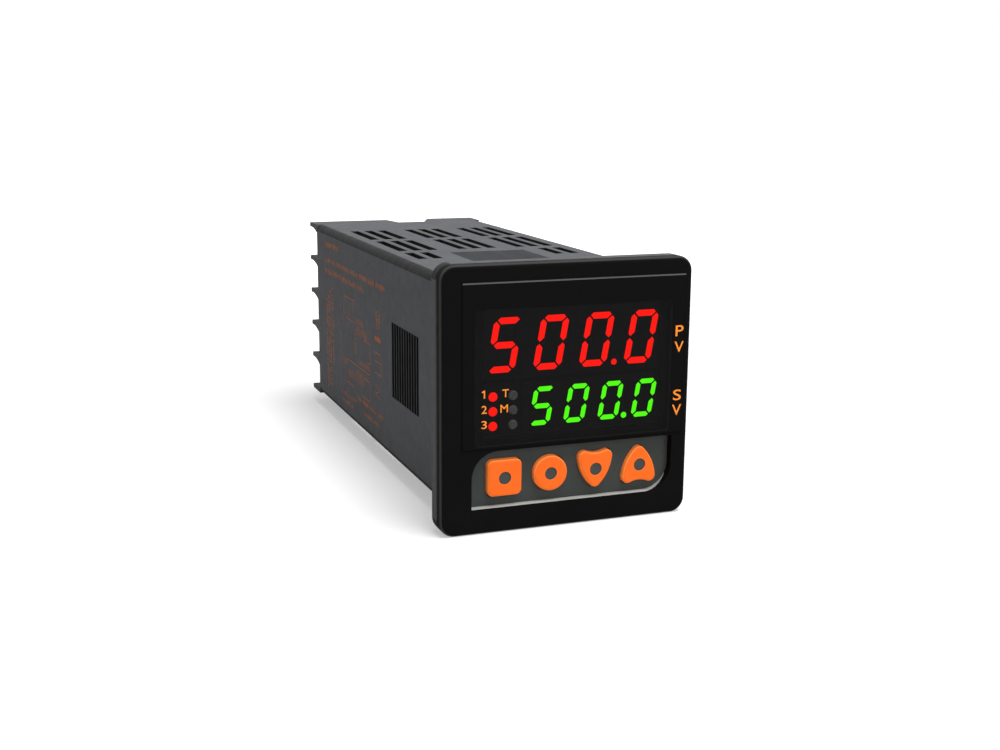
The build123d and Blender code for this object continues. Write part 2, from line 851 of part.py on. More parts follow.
def upper(height):
    """Centre along Z of a part that stands in the upper row."""
    return main_board_half - row_margin - height / 2


def lower(height):
    """Centre along Z of a part that stands in the lower row."""
    return -upper(height)


can_y, transformer_y, bulk_y, choke_y = spread([output_can[0], transformer_size[0], bulk_can[1], choke_dia])
front_relay_y, rear_relay_y, rectifier_y, fuse_y, varistor_y = spread(
    [relay_size[0], relay_size[0], rectifier_size[0], fuse_dia, varistor_thickness]
)
processor_y, amplifier_y, optocoupler_y = spread([processor_size[0], amplifier_size[0], optocoupler_size[0]])


def on_board(face, reach, side):
    """The plane on a main board's outer face, seen from outside, with Y and Z as its axes."""
    return Plane(origin=(face, 0, 0), x_dir=(0, 1, 0), z_dir=(side, 0, 0)).offset(reach)


def make_blocks(name, face, side, places, size):
    """Moulded parts of one size, standing on a board's outer face."""
    length, height, reach = size
    with BuildPart() as blocks:
        with BuildSketch(on_board(face, 0, side)):
            for y, z in places:
                with Locations((y, side * z)):
                    Rectangle(length, height)
        extrude(amount=reach)
        chamfer(blocks.faces().group_by(Axis.X)[-1 if side > 0 else 0].edges(), block_edge)
    save(blocks, name)


def stacked(y, pitch):
    """Three places one above the other, about the board's middle."""
    return [(y, pitch * i) for i in (-1, 0, 1)]


processor_z = upper(processor_size[1])
crystal_z = processor_z - processor_size[1] / 2 - crystal_gap - crystal_size[1] / 2
relay_z = lower(relay_size[1])
make_blocks("relays", power_face, 1, [(front_relay_y, relay_z), (rear_relay_y, relay_z)], relay_size)
make_blocks("bridge_rectifier", power_face, 1, [(rectifier_y, lower(rectifier_size[1]))], rectifier_size)
make_blocks("processor", signal_face, -1, [(processor_y, processor_z)], processor_size)
make_blocks("crystal", signal_face, -1, [(processor_y, crystal_z)], crystal_size)
make_blocks("input_amplifiers", signal_face, -1, stacked(amplifier_y, amplifier_pitch), amplifier_size)
make_blocks("optocouplers", signal_face, -1, stacked(optocoupler_y, optocoupler_pitch), optocoupler_size)

# Transformer: a ferrite core of two E halves round the middle leg that carries the winding
transformer_z = upper(transformer_size[1])
core_depth = transformer_size[2] / 2
leg_window = transformer_size[0] / 2 - 1.5 * transformer_leg
with BuildPart() as transformer_core:
    with BuildSketch(on_board(power_face, core_depth / 2, 1)):
        with Locations((transformer_y, transformer_z)):
            Rectangle(transformer_size[0], transformer_size[1])
        for side in (-1, 1):
            with Locations((transformer_y + side * (transformer_leg + leg_window) / 2, transformer_z)):
                Rectangle(leg_window, transformer_size[1] - 2 * transformer_leg, mode=Mode.SUBTRACT)
    extrude(amount=core_depth)
save(transformer_core, "transformer_core")

winding_length = transformer_size[1] - 2 * (transformer_leg + winding_clearance)
with BuildPart() as transformer_winding:
    with BuildSketch(Plane.XY.offset(transformer_z - winding_length / 2)):
        with Locations((power_face + core_depth, transformer_y)):
            RectangleRounded(
                2 * core_depth, transformer_leg + 2 * (leg_window - winding_clearance), winding_corner_r
            )
            Rectangle(core_depth + 2 * fit, transformer_leg + 2 * fit, mode=Mode.SUBTRACT)
    extrude(amount=winding_length)
save(transformer_winding, "transformer_winding")


def make_cans(name, places, dia, height):
    """Round parts standing on the power board, with a rounded top rim."""
    with BuildPart() as cans:
        with BuildSketch(on_board(power_face, 0, 1)):
            for place in places:
                with Locations(place):
                    Circle(dia / 2)
        extrude(amount=height)
        fillet(cans.faces().group_by(Axis.X)[-1].edges(), can_rim_r)
    save(cans, name)


can_z = upper(output_can[0])
make_cans("output_capacitors", [(can_y, can_z), (can_y, can_z - output_can_pitch)], *output_can)
make_cans("fuse", [(fuse_y, lower(fuse_dia))], fuse_dia, fuse_height)


def make_lying_can(name, y, z, dia, length):
    """A round part lying on the power board along Y, with rounded rims."""
    with BuildPart() as can:
        with BuildSketch(across(y - length / 2)):
            with Locations((power_face + dia / 2, z)):
                Circle(dia / 2)
        extrude(amount=-length)
        fillet(can.faces().filter_by(Plane.XZ).edges(), can_rim_r)
    save(can, name)


make_lying_can("bulk_capacitor", bulk_y, upper(bulk_can[0]), *bulk_can)
make_lying_can("varistor", varistor_y, lower(varistor_dia), varistor_dia, varistor_thickness)

with BuildPart() as line_choke:
    with BuildSketch(on_board(power_face, 0, 1)):
        with Locations((choke_y, upper(choke_dia))):
            Circle(choke_dia / 2)
            Circle(choke_bore / 2, mode=Mode.SUBTRACT)
    extrude(amount=choke_width)
    fillet(line_choke.faces().group_by(Axis.X)[-1].edges(), can_rim_r)
save(line_choke, "line_choke")

# Pin headers that join each main board to the display board
with BuildPart() as board_headers:
    for face, side in ((power_face, 1), (signal_face, -1)):
        with BuildSketch(on_board(face, 0, side)):
            with Locations((board_back + header_size[0] / 2, 0)):
                Rectangle(header_size[0], header_size[1])
        extrude(amount=header_size[2])
save(board_headers, "board_headers")
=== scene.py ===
import math
import random

import bmesh
import bpy
from mathutils import Matrix, Vector


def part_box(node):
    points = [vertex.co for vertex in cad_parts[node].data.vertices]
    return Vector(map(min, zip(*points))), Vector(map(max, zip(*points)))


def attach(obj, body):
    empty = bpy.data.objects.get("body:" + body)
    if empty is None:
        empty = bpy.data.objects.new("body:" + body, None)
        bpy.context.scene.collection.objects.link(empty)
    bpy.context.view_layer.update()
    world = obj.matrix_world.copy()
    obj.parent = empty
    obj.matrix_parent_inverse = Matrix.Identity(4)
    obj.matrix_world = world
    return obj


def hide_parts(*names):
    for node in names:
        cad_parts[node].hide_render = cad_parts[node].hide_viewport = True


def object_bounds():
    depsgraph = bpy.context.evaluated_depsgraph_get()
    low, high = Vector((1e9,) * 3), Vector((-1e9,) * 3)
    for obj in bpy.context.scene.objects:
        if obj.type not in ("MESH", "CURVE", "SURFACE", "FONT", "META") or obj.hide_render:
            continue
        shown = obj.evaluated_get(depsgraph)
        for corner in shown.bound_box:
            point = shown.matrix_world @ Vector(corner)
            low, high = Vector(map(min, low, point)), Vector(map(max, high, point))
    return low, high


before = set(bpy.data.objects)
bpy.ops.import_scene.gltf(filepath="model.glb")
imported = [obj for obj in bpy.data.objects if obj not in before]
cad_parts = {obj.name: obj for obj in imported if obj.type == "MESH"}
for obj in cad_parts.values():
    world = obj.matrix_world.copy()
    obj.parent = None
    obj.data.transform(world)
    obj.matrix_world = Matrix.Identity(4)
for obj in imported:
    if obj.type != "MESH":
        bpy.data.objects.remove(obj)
CAD_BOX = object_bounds()
MM = 0.001
ROOT = "controller"
scene = bpy.context.scene


def box_mm(node):
    """A node's lowest and highest corners in millimetres."""
    low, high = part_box(node)
    return low / MM, high / MM


# Faces of the frame that the added pieces are set against, in millimetres
PLATE_LOW, PLATE_HIGH = box_mm("front_plate")
MAT_LOW, MAT_HIGH = box_mm("keypad_mat")
BEZEL_LOW, BEZEL_HIGH = box_mm("front_bezel")
FRONT = PLATE_LOW.y
BEZEL_FACE = BEZEL_LOW.y
BODY_HALF = box_mm("terminal_block")[1].x
FILM = 0.008


# Colours, as linear values
def srgb(red, green, blue):
    """A colour given as it looks on a screen, from 0 to 255, as linear values."""
    shares = [part / 255 for part in (red, green, blue)]
    return tuple(((part + 0.055) / 1.055) ** 2.4 if part > 0.04 else part / 12.92 for part in shares)


def shade(colour, factor):
    """A colour made darker or lighter."""
    return tuple(min(1.0, c * factor) for c in colour)


class Look:
    """A node material under construction: a Principled shader and the nodes that feed it."""

    def __init__(self, name, roughness, specular=0.5):
        self.material = bpy.data.materials.new(name)
        self.material.use_nodes = True
        self.tree = self.material.node_tree
        self.shader = self.tree.nodes["Principled BSDF"]
        self.shader.inputs["Roughness"].default_value = roughness
        self.shader.inputs["Specular IOR Level"].default_value = specular
        coordinates = self.tree.nodes.new("ShaderNodeTexCoord")
        self.place = coordinates.outputs["Object"]
        self.normal = coordinates.outputs["Normal"]

    def node(self, kind, **values):
        """A node with its settings."""
        made = self.tree.nodes.new(kind)
        for key, value in values.items():
            setattr(made, key, value)
        return made

    def link(self, source, target):
        """Feeds a socket from another socket, or sets it to a plain value."""
        if isinstance(source, bpy.types.NodeSocket):
            self.tree.links.new(source, target)
        else:
            target.default_value = source

    def math(self, operation, first, second=0.0):
        """A sum on sockets or numbers."""
        made = self.node("ShaderNodeMath", operation=operation)
        self.link(first, made.inputs[0])
        self.link(second, made.inputs[1])
        return made.outputs[0]

    def span(self, source, low, high, start=0.0, end=1.0):
        """A value that runs from start to end while the source runs from low to high."""
        made = self.node("ShaderNodeMapRange", interpolation_type="SMOOTHSTEP")
        for key, value in (("From Min", low), ("From Max", high), ("To Min", start), ("To Max", end)):
            made.inputs[key].default_value = value
        self.link(source, made.inputs["Value"])
        return made.outputs["Result"]

    def axes(self, vector):
        """The sizes of a vector's three parts, without their signs."""
        split = self.node("ShaderNodeSeparateXYZ")
        self.link(vector, split.inputs[0])
        return [self.math("ABSOLUTE", part) for part in split.outputs]

    def within(self, source, low, high, soft):
        """1 where the source lies between two values, running out to 0 beside them."""
        rise = self.span(source, low - soft, low + soft)
        fall = self.span(source, high - soft, high + soft, 1.0, 0.0)
        return self.math("MULTIPLY", rise, fall)

    def noise(self, size, detail=2.0, stretch=(1, 1, 1)):
        """Noise whose grain is about size millimetres."""
        mapping = self.node("ShaderNodeMapping")
        mapping.inputs["Scale"].default_value = stretch
        texture = self.node("ShaderNodeTexNoise")
        texture.inputs["Scale"].default_value = 1 / (size * MM)
        texture.inputs["Detail"].default_value = detail
        self.link(self.place, mapping.inputs["Vector"])
        self.link(mapping.outputs["Vector"], texture.inputs["Vector"])
        return texture.outputs["Fac"]

    def ramp(self, source, low, high, start=0.3, end=0.7):
        """Two colours spread over a source that runs from 0 to 1."""
        ramp = self.node("ShaderNodeValToRGB")
        ramp.color_ramp.elements[0].position = start
        ramp.color_ramp.elements[1].position = end
        ramp.color_ramp.elements[0].color = (*low, 1)
        ramp.color_ramp.elements[1].color = (*high, 1)
        self.link(source, ramp.inputs["Fac"])
        return ramp.outputs["Color"]

    def mix(self, share, first, second):
        """A colour between two, by a share that varies over the surface."""
        mix = self.node("ShaderNodeMix", data_type="RGBA")
        self.link(share, mix.inputs["Factor"])
        self.link(first, mix.inputs["A"])
        self.link(second, mix.inputs["B"])
        return mix.outputs["Result"]

    def mottled(self, base, spread=0.06, size=6.0):
        """The base colour with a slow variation, as a socket."""
        return self.ramp(self.noise(size), shade(base, 1 - spread), shade(base, 1 + spread))

    def colour(self, base, spread=0.06, size=6.0):
        """Gives the shader the base colour with a slow variation."""
        self.link(self.mottled(base, spread, size), self.shader.inputs["Base Color"])
        return self

    def grain(self, size, strength, distance=0.02, detail=3.0, stretch=(1, 1, 1)):
        """A fine moulded or lacquered grain as bump."""
        bump = self.node("ShaderNodeBump")
        bump.inputs["Strength"].default_value = strength
        bump.inputs["Distance"].default_value = distance * MM
        self.link(self.noise(size, detail, stretch), bump.inputs["Height"])
        self.link(bump.outputs["Normal"], self.shader.inputs["Normal"])
        return self

    def gloss(self, low, high, size=2.0):
        """Roughness that varies a little over the surface."""
        self.link(self.span(self.noise(size), 0.2, 0.8, low, high), self.shader.inputs["Roughness"])
        return self

    def lit(self, colour, strength):
        """Makes the faces that look to the front shine by themselves."""
        self.shader.inputs["Emission Color"].default_value = (*colour, 1)
        forward = self.axes(self.normal)[1]
        self.link(self.span(forward, 0.4, 0.7, 0.0, strength), self.shader.inputs["Emission Strength"])
        return self


HOUSING_GREY = srgb(77, 78, 81)
# Painted shade for the housing's rounded long edges
EDGE_PAINTED_SHADE = srgb(34, 34, 35)
# Painted shade for the housing's recesses and slots
RECESS_PAINTED_SHADE = srgb(22, 25, 20)
BEZEL_BLACK = srgb(17, 16, 16)
# Painted highlight on the bezel's rounded edge
BEZEL_RIM_HIGHLIGHT = srgb(58, 58, 57)
# Painted glow of the smoked window's tint
WINDOW_PAINTED_GLOW = 0.026
KEY_ORANGE = srgb(254, 104, 24)
# Painted highlight and glow on the key caps' edges
KEY_EDGE_HIGHLIGHT = srgb(255, 138, 66)
PRINT_ORANGE = srgb(246, 142, 46)
SIDE_ORANGE = srgb(168, 98, 58)
LIT_RED = (1.0, 0.004, 0.0)
LIT_GREEN = (0.08, 1.0, 0.0)


FINE_GRAIN = 0.25


def moulded(name, colour, roughness=0.5, specular=0.1, grain=0.25):
    """Plain moulded plastic with a fine spark-eroded grain."""
    look = Look(name, roughness, specular).colour(colour).grain(grain, FINE_GRAIN)
    return look.gloss(roughness - 0.05, roughness + 0.07)


# Ratchet patches of the sleeve, in millimetres: start and end along Y, and reach to each side
SIDE_PATCH = (17.6, 35.75, 7.6)
TOP_PATCH = (21.5, 38.0, 7.9)


def patch_mask(look, patch, along, across):
    """1 inside a ratchet patch and 0 beside it."""
    start, end, half = (length * MM for length in patch)
    inside = look.within(along, start, end, 0.1 * MM)
    return look.math("MULTIPLY", inside, look.span(across, half, half * 1.01, 1, 0))


def sleeve_plastic(name):
    """The housing's plastic: matt flats, with painted shade on the rounded long edges, in the recesses below
    the flats and on the side ratchet patch.
    """
    look = Look(name, 0.6, 0.08).grain(0.3, FINE_GRAIN).gloss(0.55, 0.66)
    side, _, up = look.axes(look.normal)
    # Painted shade: the rounded long edges, found by their normals, take a darker grey
    edges = look.span(look.math("MULTIPLY", side, up), 0.02, 0.12)
    x, y, z = look.axes(look.place)
    # Painted shade: faces below the outer flats, in slots and recesses, take a dark colour
    depth = look.math("SUBTRACT", BODY_HALF * MM, look.math("MAXIMUM", x, z))
    recess = look.span(depth, 0.02 * MM, 0.14 * MM)
    recess = look.math("MULTIPLY", recess, look.math("SUBTRACT", 1.0, edges))
    # Painted shade: the ratchet patch on the sleeve's side faces is darkened as a whole
    sideways = look.span(look.math("SUBTRACT", x, z), -0.5 * MM, 0.5 * MM)
    side_patch_shade = look.math("MULTIPLY", patch_mask(look, SIDE_PATCH, y, z), sideways)
    top_patch = patch_mask(look, TOP_PATCH, y, x)
    specks = look.span(look.noise(0.9, 1.0), 0.76, 0.8)
    base = look.mix(specks, look.mottled(HOUSING_GREY, 0.05, 9.0), (*shade(HOUSING_GREY, 0.6), 1))
    base = look.mix(edges, base, (*EDGE_PAINTED_SHADE, 1))
    # Painted shade on the side ratchet patch
    base = look.mix(side_patch_shade, base, (*shade(HOUSING_GREY, 0.34), 1))
    # Painted shade in the recesses: dark everywhere except inside the top ratchet patch, where it is a
    # lighter grey
    hollow_shade = look.mix(top_patch, (*RECESS_PAINTED_SHADE, 1), (*shade(HOUSING_GREY, 0.7), 1))
    look.link(look.mix(recess, base, hollow_shade), look.shader.inputs["Base Color"])
    return look


def bezel_plastic(name):
    """The bezel's black plastic, with a painted highlight in a lighter grey where its edge is rounded."""
    look = Look(name, 0.45, 0.01).grain(0.2, FINE_GRAIN).gloss(0.4, 0.5)
    forward = look.axes(look.normal)[1]
    # Painted highlight: faces turned partly forward, on the rounded edge, take a lighter grey
    rim_highlight = look.within(forward, 0.22, 0.8, 0.12)
    look.link(look.mix(rim_highlight, look.mottled(BEZEL_BLACK), (*BEZEL_RIM_HIGHLIGHT, 1)), look.shader.inputs["Base Color"])
    return look


def printed_plate():
    """The front plate's smooth black lacquer."""
    look = Look("plate_black", 0.45, 0.01).colour(BEZEL_BLACK, 0.03)
    return look.grain(0.2, 0.1, 0.01).gloss(0.4, 0.5)


def metal(name, colour, roughness):
    """Bare or plated metal with fine drawn lines."""
    look = Look(name, roughness).colour(colour, 0.05, 1.5).grain(0.15, 0.2, 0.01, 2.0, (1, 8, 1))
    look.shader.inputs["Metallic"].default_value = 1.0
    return look.gloss(roughness, roughness + 0.12, 0.8)


def smoked_window():
    """Smoked clear plastic that the digits shine through. Its black face gives off a faint, even grey light,
    a painted glow in place of its lit tint.
    """
    look = Look("window_smoke", 0.2, 0.0)
    look.shader.inputs["Base Color"].default_value = (0, 0, 0, 1)
    look.shader.inputs["Emission Color"].default_value = (1, 1, 1, 1)
    # Painted glow: the window's black face emits a faint, even grey
    painted_glow = look.span(look.noise(20.0), 0.2, 0.8, WINDOW_PAINTED_GLOW * 0.98, WINDOW_PAINTED_GLOW * 1.02)
    look.link(painted_glow, look.shader.inputs["Emission Strength"])
    look.shader.inputs["Alpha"].default_value = 0.2
    return look


def key_rubber():
    """The key caps' orange silicone. Their side faces are painted a paler orange and glow, most where they
    face up: a painted highlight and glow on the edges.
    """
    look = Look("key_orange", 0.45, 0.15).grain(0.15, FINE_GRAIN).gloss(0.4, 0.52)
    # Painted highlight: faces not turned to the front take a paler orange
    edge = look.span(look.axes(look.normal)[1], 0.55, 0.9, 1.0, 0.0)
    look.link(look.mix(edge, look.mottled(KEY_ORANGE), (*KEY_EDGE_HIGHLIGHT, 1)), look.shader.inputs["Base Color"])
    look.shader.inputs["Emission Color"].default_value = (*KEY_EDGE_HIGHLIGHT, 1)
    split = look.node("ShaderNodeSeparateXYZ")
    look.link(look.normal, split.inputs[0])
    # Painted glow: the key edges give off light, most where they face up
    upward_glow = look.span(split.outputs["Z"], -0.2, 0.8, 0.1, 0.3)
    look.link(look.math("MULTIPLY", edge, upward_glow), look.shader.inputs["Emission Strength"])
    return look


def build_looks():
    """Every material of the object, by name."""
    looks = {
        "housing": sleeve_plastic("housing_grey"),
        "block": moulded("block_grey", shade(HOUSING_GREY, 0.92), 0.6, 0.1, 0.3),
        "bezel": bezel_plastic("bezel_black"),
        "plate": printed_plate(),
        "mat": moulded("mat_rubber", srgb(61, 65, 63), 0.75, 0.06, 0.15),
        "key": key_rubber(),
        "dot": moulded("key_dot", srgb(66, 70, 68), 0.6, 0.06, 0.15),
        "black": moulded("black_moulding", srgb(14, 14, 14), 0.5, 0.3, 0.12),
        "case": Look("display_case", 0.85, 0.0).colour(srgb(11, 11, 11), 0.05, 3.0),
        "red": Look("segment_red", 0.6, 0.0).colour(srgb(60, 4, 2), 0.03).lit(LIT_RED, 1.62),
        "green": Look("segment_green", 0.6, 0.0).colour(srgb(10, 40, 2), 0.03).lit(LIT_GREEN, 1.58),
        "unlit": Look("segment_unlit", 0.85, 0.0).colour(srgb(11, 11, 11), 0.05, 3.0),
        "lamp_dark": moulded("lamp_unlit", srgb(80, 80, 77), 0.5, 0.1, 0.2),
        "board": Look("circuit_board", 0.35, 0.5).colour(srgb(24, 92, 50), 0.2, 2.0).grain(0.4, 0.3),
        "brass": metal("contact_brass", srgb(214, 176, 104), 0.28),
        "steel": metal("plated_steel", srgb(190, 191, 188), 0.3),
        "ferrite": moulded("ferrite", srgb(52, 53, 56), 0.75, 0.3, 0.2),
        "tape": Look("winding_tape", 0.3, 0.5).colour(srgb(196, 152, 50), 0.1, 1.0).grain(0.5, 0.2),
        "can": metal("drawn_can", srgb(176, 180, 184), 0.35),
        "varistor": Look("varistor_blue", 0.3, 0.5).colour(srgb(34, 70, 150), 0.08, 1.0).grain(0.3, 0.2),
        "print": Look("print_orange", 0.5, 0.1).colour(PRINT_ORANGE, 0.03, 0.5).grain(0.1, 0.1),
        "side_print": Look("side_print", 0.7, 0.05).colour(SIDE_ORANGE, 0.2, 0.4).grain(0.2, 0.2),
        # Painted highlight on the keypad recess's lower wall
        "rim_highlight": moulded("keypad_rim_highlight", srgb(158, 162, 159), 0.5, 0.1, 0.2),
        # Painted highlight for the front plate's upper edge
        "line": moulded("plate_edge_highlight", srgb(84, 84, 82), 0.5, 0.1, 0.2),
        "window": smoked_window(),
    }
    return {name: look.material for name, look in looks.items()}


LOOKS = build_looks()

NODE_LOOKS = {
    "housing": "housing", "terminal_block": "block", "front_bezel": "bezel", "front_plate": "plate",
    "display_window": "window", "keypad_mat": "mat", "display_board": "board", "terminal_board": "board",
    "power_board": "board", "signal_board": "board", "pv_display": "case", "sv_display": "case",
    "lamp_holder": "case", "pv_segments_lit": "red", "sv_segments_lit": "green", "pv_segments_dark": "unlit",
    "sv_segments_dark": "unlit", "status_lamps_lit": "red", "status_lamps_dark": "lamp_dark",
    "terminal_contacts": "brass", "terminal_clamps": "steel", "terminal_screws": "steel",
    "transformer_core": "ferrite", "transformer_winding": "tape", "line_choke": "ferrite",
    "bulk_capacitor": "can", "output_capacitors": "can", "crystal": "can", "varistor": "varistor",
}


def look_for(node):
    """The name of a CAD node's look."""
    if node.endswith("_cap"):
        return "key"
    if node.endswith("_stem"):
        return "dot"
    return NODE_LOOKS.get(node, "black")


for name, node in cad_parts.items():
    node.data.materials.clear()
    node.data.materials.append(LOOKS[look_for(name)])


# Thin pieces that lie on the object's faces
def new_piece(name, bm, look):
    """Turns a mesh under construction into a piece of the object that rides on its body."""
    bmesh.ops.recalc_face_normals(bm, faces=bm.faces)
    mesh = bpy.data.meshes.new(name)
    bm.to_mesh(mesh)
    bm.free()
    mesh.materials.append(LOOKS[look])
    piece = bpy.data.objects.new(name, mesh)
    scene.collection.objects.link(piece)
    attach(piece, ROOT)


def on_front(x, z, height):
    """A point at a height above the front plate's face, in metres."""
    return Vector((x, FRONT - height, z)) * MM


def on_side(y, z, height):
    """A point at a height above the sleeve's left face, in metres."""
    return Vector((-BODY_HALF - height, y, z)) * MM


def prism(bm, outline, place, low, high):
    """Adds a closed prism: a flat outline raised from one height above a face to another."""
    ends = [[bm.verts.new(place(u, v, height)) for u, v in outline] for height in (low, high)]
    for end in ends:
        bm.faces.new(end)
    for i in range(len(outline)):
        j = (i + 1) % len(outline)
        bm.faces.new((ends[0][i], ends[0][j], ends[1][j], ends[1][i]))


def rectangle(left, bottom, right, top):
    """The corners of an upright rectangle."""
    return [(left, bottom), (right, bottom), (right, top), (left, top)]


def stroke(start, end, width):
    """The corners of a straight line of some width."""
    along = (Vector(end) - Vector(start)).normalized() * width / 2
    across = Vector((-along.y, along.x))
    first, last = Vector(start), Vector(end)
    return [tuple(p) for p in (first - across, last - across, last + across, first + across)]


# Vents as in the photograph: wider slots, and the front row's two slots side by side in each group
VENT_WIDTH = 1.9
VENT_GROUP = 12.8
VENT_PITCH = 3.2
LONG_VENTS = [group * VENT_GROUP + i * VENT_PITCH for group in (-1, 0, 1) for i in (-1, 0, 1)]
FRONT_VENTS = [side * (VENT_GROUP + i * VENT_PITCH) for side in (-1, 1) for i in (0, 1)]
FILLED_VENTS = [side * (VENT_GROUP - VENT_PITCH) for side in (-1, 1)]
FRONT_ROW = (29.5, 39.5)
MIDDLE_ROW = (42.8, 60.9)
REAR_ROW = (64.2, 82.3)
VENT_ROWS = ((*FRONT_ROW, FRONT_VENTS), (*MIDDLE_ROW, LONG_VENTS), (*REAR_ROW, LONG_VENTS))
VENT_LAP = 0.02
VENT_REACH = 0.5
FILLED_ROWS = ((*FRONT_ROW, FILLED_VENTS),)
FILL_WIDTH = 1.6
FILL_LAP = 0.05
WALL = 1.6
MERGE = 1e-7


def in_space(x, y, z):
    """A point given in millimetres, in metres."""
    return Vector((x, y, z)) * MM


def wall_blocks(name, rows, width, lap, reach):
    """Blocks that cross the top and bottom walls where the rows' slots are."""
    bm = bmesh.new()
    for start, end, middles in rows:
        for x in middles:
            outline = rectangle(x - width / 2, start - lap, x + width / 2, end + lap)
            for side in (-1, 1):
                prism(bm, outline, in_space, side * (BODY_HALF - WALL - reach), side * (BODY_HALF + reach))
    bmesh.ops.recalc_face_normals(bm, faces=bm.faces)
    mesh = bpy.data.meshes.new(name)
    bm.to_mesh(mesh)
    bm.free()
    blocks = bpy.data.objects.new(name, mesh)
    scene.collection.objects.link(blocks)
    return blocks


def housing_shell():
    """The housing with the photograph's vents. It stands for the CAD housing."""
    bm = bmesh.new()
    bm.from_mesh(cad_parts["housing"].data)
    bmesh.ops.remove_doubles(bm, verts=bm.verts, dist=MERGE)
    mesh = bpy.data.meshes.new("housing_shell")
    bm.to_mesh(mesh)
    bm.free()
    mesh.materials.append(LOOKS["housing"])
    shell = bpy.data.objects.new("housing_shell", mesh)
    scene.collection.objects.link(shell)
    tools = (
        (wall_blocks("fill", FILLED_ROWS, FILL_WIDTH, FILL_LAP, 0.0), "UNION"),
        (wall_blocks("cut", VENT_ROWS, VENT_WIDTH, VENT_LAP, VENT_REACH), "DIFFERENCE"),
    )
    for blocks, operation in tools:
        modifier = shell.modifiers.new(blocks.name, "BOOLEAN")
        modifier.object = blocks
        modifier.operation = operation
        modifier.solver = "EXACT"
    evaluated = shell.evaluated_get(bpy.context.evaluated_depsgraph_get())
    made = bpy.data.meshes.new_from_object(evaluated)
    shell.modifiers.clear()
    shell.data = made
    for blocks, _ in tools:
        bpy.data.meshes.remove(blocks.data)
    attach(shell, ROOT)
    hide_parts("housing")


# Print on the front: generic letters and figures
LETTER_BOLD = 0.006
FRONT_LETTERS = (
    ("P", 21.55, 10.45, 1.6, 2.0), ("V", 21.55, 7.5, 1.85, 2.0),
    ("S", 21.5, -1.45, 1.6, 2.0), ("V", 21.5, -4.25, 1.85, 2.0),
    ("2", -16.0, -1.3, 1.0, 1.42), ("3", -16.0, -4.0, 1.0, 1.42),
    ("T", -12.05, 1.35, 1.2, 1.4), ("M", -12.3, -1.35, 1.4, 1.4),
)
FIGURE_ONE = (-16.15, 1.4, 0.6, 1.42, 0.24)


def letter(bm, text, x, z, width, height):
    """Adds one letter, its box centred at x, z on the front face."""
    curve = bpy.data.curves.new("letter", "FONT")
    curve.body = text
    curve.offset = LETTER_BOLD
    curve.extrude = 0.5
    curve.resolution_u = 6
    holder = bpy.data.objects.new("letter", curve)
    mesh = bpy.data.meshes.new_from_object(holder)
    lows = [min(v.co[i] for v in mesh.vertices) for i in range(2)]
    highs = [max(v.co[i] for v in mesh.vertices) for i in range(2)]
    for v in mesh.vertices:
        share = [(v.co[i] - lows[i]) / (highs[i] - lows[i]) - 0.5 for i in range(2)]
        v.co = on_front(x + share[0] * width, z + share[1] * height, v.co.z * FILM)
    bm.from_mesh(mesh)
    bpy.data.meshes.remove(mesh)
    bpy.data.objects.remove(holder)
    bpy.data.curves.remove(curve)


def front_print():
    """The orange marks beside the displays and the lamps."""
    bm = bmesh.new()
    for mark in FRONT_LETTERS:
        letter(bm, *mark)
    x, z, width, height, line = FIGURE_ONE
    left, right, bottom, top = x - width / 2, x + width / 2, z - height / 2, z + height / 2
    one = [
        (right - line, bottom), (right, bottom), (right, top), (right - line * 0.7, top),
        (left, top - line * 0.9), (left, top - line * 1.8), (right - line, top - line * 1.5),
    ]
    prism(bm, one, on_front, -FILM, FILM)
    new_piece("front_print", bm, "print")


# Print on the left side: rows of small bars where the real one has words, and a diagram of lines
INK_LINE = 0.18
WORD_LENGTHS = (3.0, 7.0)
BAR_WIDTHS = (0.2, 0.42)
BAR_GAPS = (0.22, 0.38)
WORD_GAP = 0.9


def text_row(bm, start, end, bottom, height, rng, upright=False):
    """A row of small bars of mixed widths, in groups like words, along Y or along Z."""
    place = start
    while place < end:
        word_end = min(end, place + rng.uniform(*WORD_LENGTHS))
        while place < word_end:
            width = rng.uniform(*BAR_WIDTHS)
            low = bottom + height * rng.choice((0.0, 0.0, 0.0, 0.35))
            high = bottom + height * rng.choice((1.0, 1.0, 0.6))
            if upright:
                bar = rectangle(low, place, high, place + width)
            else:
                bar = rectangle(place, low, place + width, high)
            prism(bm, bar, on_side, -FILM, FILM)
            place += width + rng.uniform(*BAR_GAPS)
        place += WORD_GAP


def path(bm, points, width=INK_LINE):
    """A line drawn through points on the side."""
    for start, end in zip(points, points[1:]):
        prism(bm, stroke(start, end, width), on_side, -FILM, FILM)


